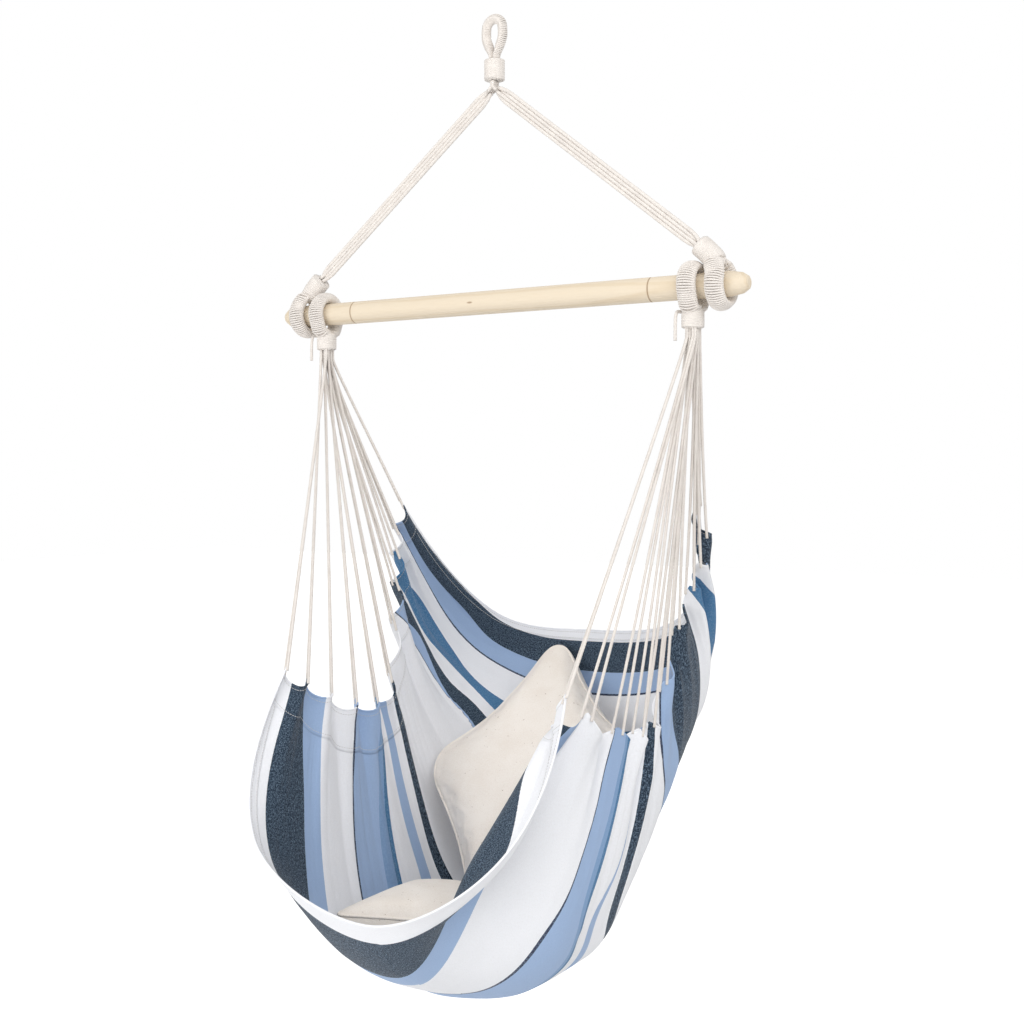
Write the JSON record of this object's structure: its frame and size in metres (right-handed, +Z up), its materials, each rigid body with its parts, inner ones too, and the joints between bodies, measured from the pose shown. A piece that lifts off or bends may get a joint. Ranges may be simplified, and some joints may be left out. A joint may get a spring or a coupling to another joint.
{
  "type": "hammock chair",
  "caption": "Hanging hammock chair: striped cloth seat on fanned cords under a turned wooden spreader bar, with a whipped rope eye and loose cushions.",
  "frame": {"origin": "point inside the rope eye that bears on the hook", "axes": "+X along the spreader bar, to the right as seen from the open front, -Y to the open front of the seat, +Z up"},
  "size_m": [0.872, 0.6527, 1.5648],
  "materials": {
    "cotton_rope": "matte",
    "pine": "satin",
    "striped_cloth": "matte",
    "edge_band": "matte",
    "cushion_cloth": "matte",
    "wadding": "matte",
    "zip": "matte"
  },
  "bodies": {
    "hanging_eye": {"hanging_eye_core": "cotton_rope", "hanging_eye_whipping": "cotton_rope"},
    "eye_neck": {"eye_neck": "cotton_rope", "eye_binding": "cotton_rope"},
    "gather": {"cord_gather": "cotton_rope"},
    "yoke": {"left_suspension_cord_1": "cotton_rope", "left_suspension_cord_2": "cotton_rope", "left_suspension_cord_3": "cotton_rope", "left_suspension_cord_4": "cotton_rope", "left_suspension_loop_core": "cotton_rope", "left_suspension_loop_whipping": "cotton_rope", "left_suspension_loop_binding": "cotton_rope", "right_suspension_cord_1": "cotton_rope", "right_suspension_cord_2": "cotton_rope", "right_suspension_cord_3": "cotton_rope", "right_suspension_cord_4": "cotton_rope", "right_suspension_loop_core": "cotton_rope", "right_suspension_loop_whipping": "cotton_rope", "right_suspension_loop_binding": "cotton_rope"},
    "bar": {"spreader_bar": "pine"},
    "seat": {"seat_cloth": "striped_cloth", "left_edge_band": "edge_band", "right_edge_band": "edge_band", "left_chair_loop_core": "cotton_rope", "left_chair_loop_whipping": "cotton_rope", "left_chair_loop_binding": "cotton_rope", "left_chair_cord_1": "cotton_rope", "left_chair_cord_2": "cotton_rope", "left_chair_cord_3": "cotton_rope", "left_chair_cord_4": "cotton_rope", "left_chair_cord_5": "cotton_rope", "left_chair_cord_6": "cotton_rope", "left_chair_cord_7": "cotton_rope", "left_chair_cord_8": "cotton_rope", "left_chair_cord_9": "cotton_rope", "left_chair_cord_10": "cotton_rope", "left_chair_cord_11": "cotton_rope", "left_cord_tail": "cotton_rope", "right_chair_loop_core": "cotton_rope", "right_chair_loop_whipping": "cotton_rope", "right_chair_loop_binding": "cotton_rope", "right_chair_cord_1": "cotton_rope", "right_chair_cord_2": "cotton_rope", "right_chair_cord_3": "cotton_rope", "right_chair_cord_4": "cotton_rope", "right_chair_cord_5": "cotton_rope", "right_chair_cord_6": "cotton_rope", "right_chair_cord_7": "cotton_rope", "right_chair_cord_8": "cotton_rope", "right_chair_cord_9": "cotton_rope", "right_chair_cord_10": "cotton_rope", "right_chair_cord_11": "cotton_rope", "right_cord_tail": "cotton_rope"},
    "back_cushion": {"back_cushion_cover": "cushion_cloth", "back_cushion_filling": "wadding", "back_cushion_zip": "zip"},
    "seat_cushion": {"seat_cushion_cover": "cushion_cloth", "seat_cushion_filling": "wadding", "seat_cushion_zip": "zip"}
  },
  "joints": [
    {"name": "hook_turn", "type": "hinge", "parent": "hanging_eye", "child": "eye_neck", "pos_m": [0, 0, -0.058], "axis": [0, 0, 1], "range_deg": [-90, 90]},
    {"name": "side_swing", "type": "hinge", "parent": "eye_neck", "child": "gather", "pos_m": [0, 0, -0.1026], "axis": [0, 1, 0], "range_deg": [-15, 15]},
    {"name": "fore_aft_swing", "type": "hinge", "parent": "gather", "child": "yoke", "pos_m": [0, 0, -0.1026], "axis": [1, 0, 0], "range_deg": [-20, 20]},
    {"name": "bar_roll", "type": "hinge", "parent": "yoke", "child": "bar", "pos_m": [0, 0, -0.45], "axis": [1, 0, 0], "continuous": true},
    {"name": "seat_swing", "type": "hinge", "parent": "yoke", "child": "seat", "pos_m": [0, 0, -0.45], "axis": [1, 0, 0], "range_deg": [-15, 15]},
    {"name": "back_cushion_lift", "type": "slide", "parent": "seat", "child": "back_cushion", "axis": [0, 0, 1], "range_m": [0, 0.3]},
    {"name": "seat_cushion_lift", "type": "slide", "parent": "seat", "child": "seat_cushion", "axis": [0, 0, 1], "range_m": [0, 0.3]}
  ]
}
